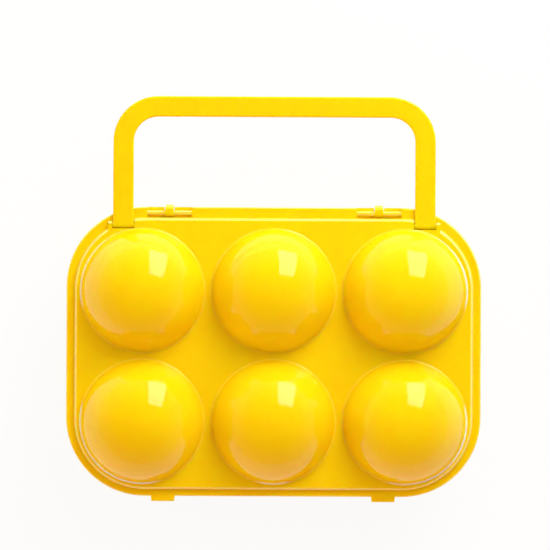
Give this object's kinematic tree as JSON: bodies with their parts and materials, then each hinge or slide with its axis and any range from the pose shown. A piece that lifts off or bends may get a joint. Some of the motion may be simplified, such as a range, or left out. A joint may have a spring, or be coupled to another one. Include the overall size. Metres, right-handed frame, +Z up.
{
  "type": "egg holder",
  "caption": "Hinged two-part yellow plastic carrying case with egg-shaped cells in rows, clasps on one long side and a folding strap handle",
  "frame": {"origin": "centre of the overall bounding box, on the plane the base's feet stand on", "axes": "+X along the rows of three cells, +Y from the hinges to the latches and the handle, +Z up from the base to the lid"},
  "size_m": [0.165, 0.1612, 0.0626],
  "materials": {
    "shell": "gloss",
    "pin": "gloss"
  },
  "bodies": {
    "base": {"base_shell": "shell"},
    "lid": {"lid_shell": "shell", "hinge_pin_left": "pin", "hinge_pin_right": "pin", "handle_pin_left": "pin", "handle_pin_right": "pin"},
    "handle": {"carry_handle": "shell"},
    "latch_left": {"latch_left": "shell"},
    "latch_right": {"latch_right": "shell"}
  },
  "joints": [
    {"name": "lid_hinge", "type": "hinge", "parent": "base", "child": "lid", "pos_m": [0, -0.07895, 0.0363], "axis": [1, 0, 0], "range_deg": [0, 175]},
    {"name": "handle_fold", "type": "hinge", "parent": "lid", "child": "handle", "pos_m": [0, 0.02935, 0.0412], "axis": [1, 0, 0], "range_deg": [0, 95]},
    {"name": "latch_left_swing", "type": "hinge", "parent": "lid", "child": "latch_left", "pos_m": [-0.0417, 0.03425, 0.0389], "axis": [1, 0, 0], "range_deg": [0, 100]},
    {"name": "latch_right_swing", "type": "hinge", "parent": "lid", "child": "latch_right", "pos_m": [0.0417, 0.03425, 0.0389], "axis": [1, 0, 0], "range_deg": [0, 100]}
  ]
}
